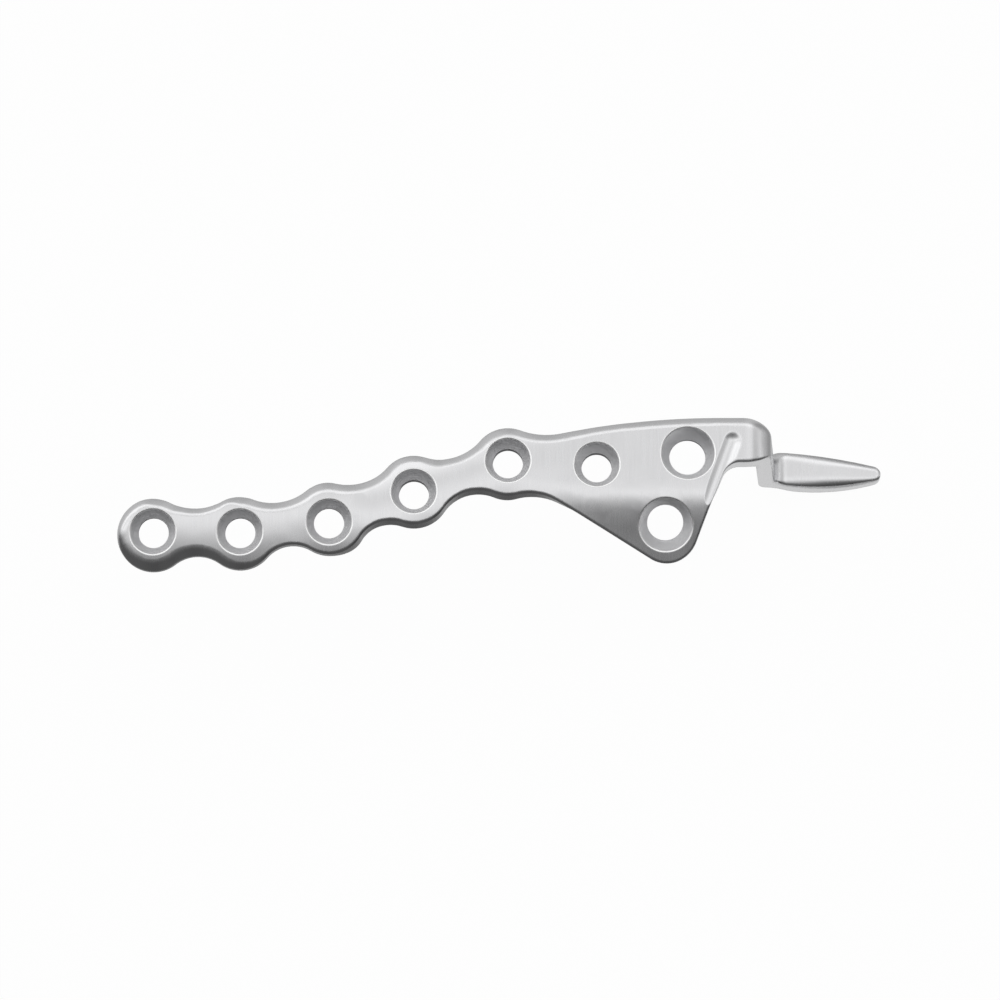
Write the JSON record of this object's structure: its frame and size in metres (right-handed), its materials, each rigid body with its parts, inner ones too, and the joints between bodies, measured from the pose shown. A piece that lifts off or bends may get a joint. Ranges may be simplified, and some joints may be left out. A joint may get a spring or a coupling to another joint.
{
  "type": "clavicle hook bone plate",
  "caption": "Curved, scalloped bone plate with round countersunk screw holes, a triangular bent head and a drop hook ending in a tapered blade.",
  "frame": {"origin": "centre of the head screw hole beside the hook, on the bone-side face", "axes": "+Z out of that hole through the plate's top, +X along the plate towards the blade's tip, +Y to the side the hook's neck stands on"},
  "size_m": [0.1043, 0.0212, 0.0212],
  "materials": {
    "steel": "satin polished surgical stainless steel"
  },
  "bodies": {
    "root": {"hook_plate": "steel"}
  },
  "joints": []
}
